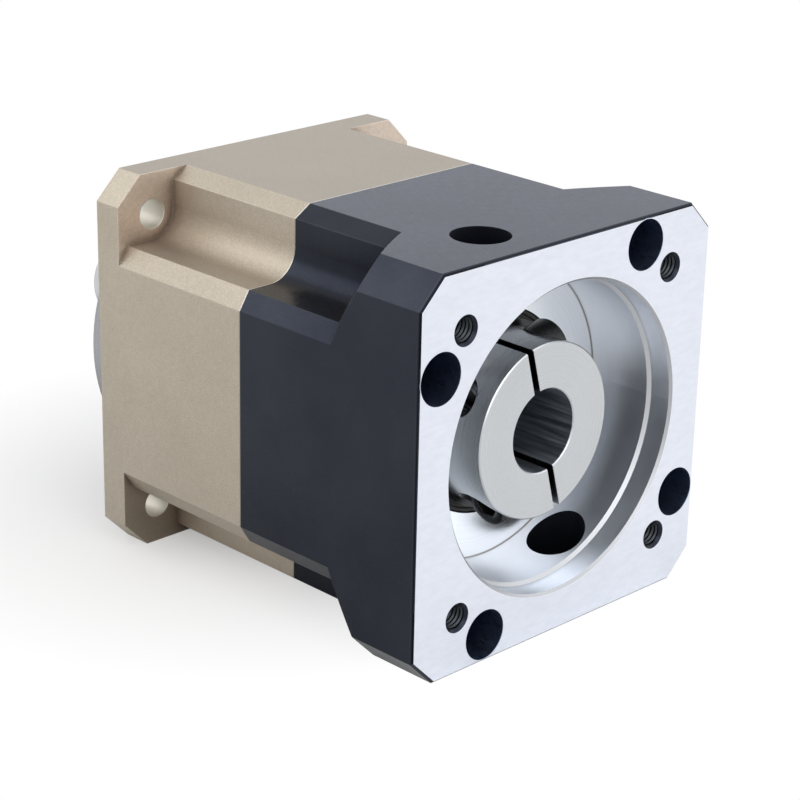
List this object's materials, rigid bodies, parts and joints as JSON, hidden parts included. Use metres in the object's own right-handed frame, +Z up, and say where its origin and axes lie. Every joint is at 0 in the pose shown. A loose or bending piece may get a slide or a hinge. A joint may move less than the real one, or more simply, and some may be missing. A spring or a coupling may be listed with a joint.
{
  "type": "helical planetary gearbox",
  "caption": "Square-bodied inline planetary gear reducer: motor flange with a slit clamp hub, helical planet stage, and a keyed output shaft on a round pilot boss.",
  "frame": {"origin": "centre of the output flange's mounting face, on the shaft axis", "axes": "+Y along the axis toward the output shaft, +Z up, one flat of the square body facing down"},
  "size_m": [0.09, 0.1506, 0.09],
  "materials": {
    "champagne_aluminium": "bead-blasted satin",
    "black_anodised": "satin anodised, bare motor face",
    "bright_steel": "turned and ground",
    "black_steel": "black oxide",
    "seal_rubber": "matt"
  },
  "bodies": {
    "housing": {"gear_housing": "champagne_aluminium", "motor_adapter": "black_anodised", "housing_screws": "black_steel", "ring_gear": "bright_steel", "output_seal": "seal_rubber", "input_seal": "seal_rubber", "inner_bearing_outer_ring": "bright_steel", "outer_bearing_outer_ring": "bright_steel", "input_bearing_outer_ring": "bright_steel"},
    "output": {"output_carrier": "bright_steel", "planet_pins": "bright_steel", "shaft_circlip": "bright_steel", "inner_bearing_inner_ring": "bright_steel", "outer_bearing_inner_ring": "bright_steel"},
    "input": {"input_hub": "bright_steel", "clamp_screws": "black_steel", "sun_gear": "bright_steel", "hub_circlip": "bright_steel", "input_bearing_inner_ring": "bright_steel"},
    "inner_rollers": {"inner_bearing_rollers": "bright_steel"},
    "outer_rollers": {"outer_bearing_rollers": "bright_steel"},
    "input_rollers": {"input_bearing_rollers": "bright_steel"},
    "planet_1": {"planet_gear_1": "bright_steel"},
    "needles_1": {"needle_rollers_1": "bright_steel"},
    "planet_2": {"planet_gear_2": "bright_steel"},
    "needles_2": {"needle_rollers_2": "bright_steel"},
    "planet_3": {"planet_gear_3": "bright_steel"},
    "needles_3": {"needle_rollers_3": "bright_steel"}
  },
  "joints": [
    {"name": "output_spin", "type": "hinge", "parent": "housing", "child": "output", "pos_m": [0, 0, 0], "axis": [0, 1, 0], "continuous": true},
    {"name": "input_spin", "type": "hinge", "parent": "housing", "child": "input", "pos_m": [0, -0.09635, 0], "axis": [0, 1, 0], "continuous": true},
    {"name": "inner_rollers_spin", "type": "hinge", "parent": "housing", "child": "inner_rollers", "pos_m": [0, -0.0166, 0], "axis": [0, 1, 0], "continuous": true},
    {"name": "outer_rollers_spin", "type": "hinge", "parent": "housing", "child": "outer_rollers", "pos_m": [0, -0.003, 0], "axis": [0, 1, 0], "continuous": true},
    {"name": "input_rollers_spin", "type": "hinge", "parent": "housing", "child": "input_rollers", "pos_m": [0, -0.0682, 0], "axis": [0, 1, 0], "continuous": true},
    {"name": "planet_1_spin", "type": "hinge", "parent": "output", "child": "planet_1", "pos_m": [0, -0.0368, 0.02175], "axis": [0, 1, 0], "continuous": true},
    {"name": "needles_1_spin", "type": "hinge", "parent": "output", "child": "needles_1", "pos_m": [0, -0.0368, 0.02175], "axis": [0, 1, 0], "continuous": true},
    {"name": "planet_2_spin", "type": "hinge", "parent": "output", "child": "planet_2", "pos_m": [-0.01884, -0.0368, -0.01087], "axis": [0, 1, 0], "continuous": true},
    {"name": "needles_2_spin", "type": "hinge", "parent": "output", "child": "needles_2", "pos_m": [-0.01884, -0.0368, -0.01087], "axis": [0, 1, 0], "continuous": true},
    {"name": "planet_3_spin", "type": "hinge", "parent": "output", "child": "planet_3", "pos_m": [0.01884, -0.0368, -0.01087], "axis": [0, 1, 0], "continuous": true},
    {"name": "needles_3_spin", "type": "hinge", "parent": "output", "child": "needles_3", "pos_m": [0.01884, -0.0368, -0.01087], "axis": [0, 1, 0], "continuous": true}
  ],
  "couplings": [
    {"joint": "input_spin", "follows": "output_spin", "ratio": 5},
    {"joint": "inner_rollers_spin", "follows": "output_spin", "ratio": 0.44742},
    {"joint": "outer_rollers_spin", "follows": "output_spin", "ratio": 0.42164},
    {"joint": "input_rollers_spin", "follows": "output_spin", "ratio": 2.1558},
    {"joint": "planet_1_spin", "follows": "output_spin", "ratio": -2.6667},
    {"joint": "needles_1_spin", "follows": "output_spin", "ratio": -1.6766},
    {"joint": "planet_2_spin", "follows": "output_spin", "ratio": -2.6667},
    {"joint": "needles_2_spin", "follows": "output_spin", "ratio": -1.6766},
    {"joint": "planet_3_spin", "follows": "output_spin", "ratio": -2.6667},
    {"joint": "needles_3_spin", "follows": "output_spin", "ratio": -1.6766}
  ]
}
